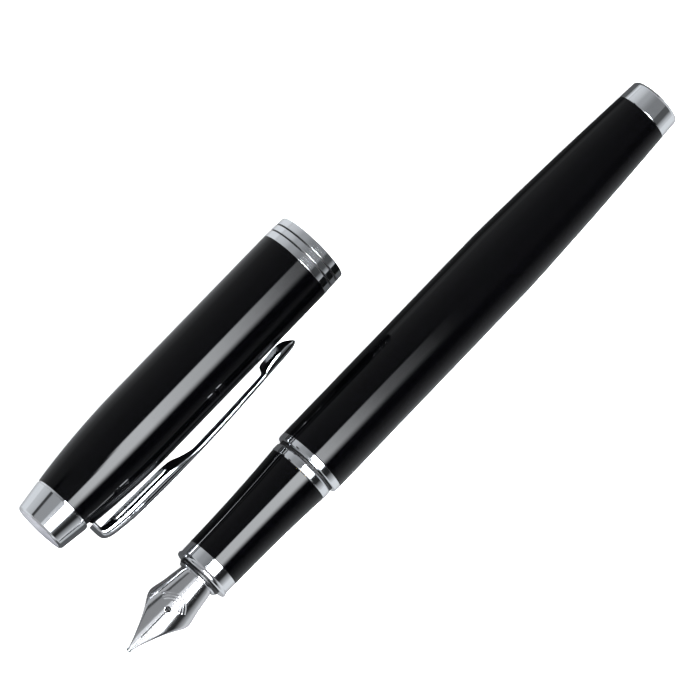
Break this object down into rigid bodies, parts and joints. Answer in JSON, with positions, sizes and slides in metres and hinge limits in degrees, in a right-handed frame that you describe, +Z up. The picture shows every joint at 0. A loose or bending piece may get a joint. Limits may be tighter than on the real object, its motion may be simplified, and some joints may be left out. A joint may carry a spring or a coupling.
{
  "type": "fountain pen",
  "caption": "Lacquered fountain pen with a plated clip cap lying beside it, a steel nib on a finned feed, a threaded grip and a twist converter.",
  "frame": {"origin": "middle of the ground that the pen and the cap beside it lie on", "axes": "+X along the pen from the nib to the tail, +Y from the pen to the cap beside it, +Z up"},
  "size_m": [0.12, 0.0353, 0.013],
  "materials": {
    "black_lacquer": "high gloss lacquer over brass",
    "chrome": "polished chrome plate",
    "nib_steel": "polished stainless steel",
    "turned_brass": "turned, fine tool marks",
    "black_plastic": "moulded, satin",
    "clear_plastic": "clear moulded polystyrene",
    "rubber": "matt moulded rubber",
    "bright_steel": "turned bright steel",
    "pearl_disc": "satin pearl enamel on a pressed disc"
  },
  "bodies": {
    "barrel": {"barrel_tube": "black_lacquer", "barrel_front_ring": "chrome", "barrel_thread_bush": "turned_brass", "barrel_tail_band": "chrome", "barrel_tail_plug": "chrome"},
    "washer": {"thread_washer": "rubber"},
    "rear_band": {"section_rear_band": "chrome"},
    "grip": {"section_shell": "black_lacquer", "section_front_band": "chrome", "section_core": "black_plastic", "section_thread_collar": "turned_brass", "nib_collar": "black_plastic", "nib_collar_trim": "chrome"},
    "nib_unit": {"nib": "nib_steel", "nib_tip": "nib_steel", "feed": "black_plastic"},
    "converter": {"converter_tube": "clear_plastic", "converter_band": "chrome", "converter_nut": "black_plastic"},
    "knob": {"converter_knob": "black_plastic"},
    "piston": {"piston_rod": "bright_steel", "piston_seal": "rubber"},
    "cap": {"cap_tube": "black_lacquer", "cap_inner_sleeve": "black_plastic", "cap_band": "chrome", "cap_band_inlays": "black_plastic", "cap_finial": "chrome", "cap_finial_disc": "pearl_disc", "cap_stud": "bright_steel", "clip_ring": "chrome"},
    "clip": {"clip": "chrome"}
  },
  "joints": [
    {"name": "grip_pull", "type": "slide", "parent": "barrel", "child": "washer", "axis": [-1, 0, 0], "range_m": [0, 0.0811]},
    {"name": "grip_advance", "type": "slide", "parent": "washer", "child": "rear_band", "axis": [-1, 0, 0], "range_m": [0, 0.004]},
    {"name": "grip_turn", "type": "hinge", "parent": "rear_band", "child": "grip", "pos_m": [-0.021, -0.01163, 0.00602], "axis": [-1, 0, 0], "range_deg": [0, 1800]},
    {"name": "nib_pull", "type": "slide", "parent": "grip", "child": "nib_unit", "axis": [-1, 0, 0], "range_m": [0, 0.012]},
    {"name": "converter_pull", "type": "slide", "parent": "grip", "child": "converter", "axis": [1, 0, 0], "range_m": [0, 0.006]},
    {"name": "knob_turn", "type": "hinge", "parent": "converter", "child": "knob", "pos_m": [0.03, -0.01163, 0.00602], "axis": [1, 0, 0], "range_deg": [0, 2640]},
    {"name": "piston_slide", "type": "slide", "parent": "converter", "child": "piston", "axis": [-1, 0, 0], "range_m": [0, 0.022]},
    {"name": "cap_carry", "type": "slide", "parent": "barrel", "child": "cap", "axis": [-0.9793, -0.2023, -0.0041], "range_m": [0, 0.11273]},
    {"name": "clip_flex", "type": "hinge", "parent": "cap", "child": "clip", "pos_m": [-0.0497, 0.00522, 0.00648], "axis": [0, 0, -1], "range_deg": [0, 3], "stiffness_Nm_per_rad": 4}
  ],
  "couplings": [
    {"joint": "grip_turn", "follows": "grip_advance", "rad_per_m": 7854},
    {"joint": "knob_turn", "follows": "piston_slide", "rad_per_m": 2094.4}
  ]
}
